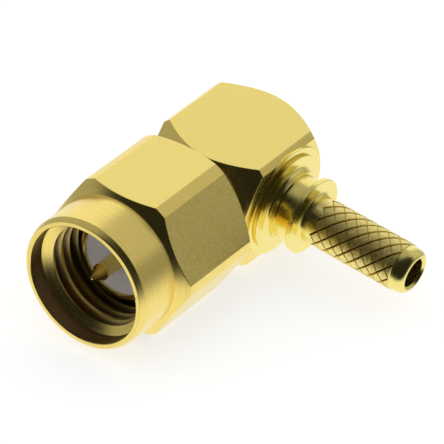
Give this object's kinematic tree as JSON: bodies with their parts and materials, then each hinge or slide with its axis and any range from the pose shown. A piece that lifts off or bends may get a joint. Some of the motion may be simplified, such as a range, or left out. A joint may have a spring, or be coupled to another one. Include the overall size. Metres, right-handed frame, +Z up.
{
  "type": "right-angle sma plug",
  "caption": "Right-angle SMA crimp plug: bevelled brass block, free hexagonal coupling nut over a pin contact, and a knurled hollow stem for thin coaxial cable.",
  "frame": {"origin": "on the coupling axis, in the mating reference plane at the front end of the outer contact", "axes": "-Y along the coupling axis, out of the mouth; +X towards the cable stem, which is tipped 9 degrees below +X as the plug lies; +Z up"},
  "size_m": [0.016, 0.0165, 0.0082],
  "materials": {
    "gold_block": "gold plate over milled and turned brass",
    "gold_turned": "gold plate over turned brass",
    "gold_nut": "gold plate over drawn hexagon brass, turned at the sleeve and ends",
    "gold_contact": "polished gold plate",
    "spring_bronze": "plain spring bronze",
    "gasket_rubber": "matt silicone rubber",
    "ptfe": "white PTFE"
  },
  "bodies": {
    "plug_body": {"body": "gold_block", "crimp_stem": "gold_turned", "snap_ring": "spring_bronze", "gasket": "gasket_rubber", "front_insulator": "ptfe", "centre_contact": "gold_contact", "rear_insulator": "ptfe", "rear_cap": "gold_turned"},
    "coupling_nut": {"coupling_nut": "gold_nut"}
  },
  "joints": [
    {"name": "nut_spin", "type": "hinge", "parent": "plug_body", "child": "coupling_nut", "pos_m": [0, 0, 0], "axis": [0, 1, 0], "continuous": true}
  ]
}
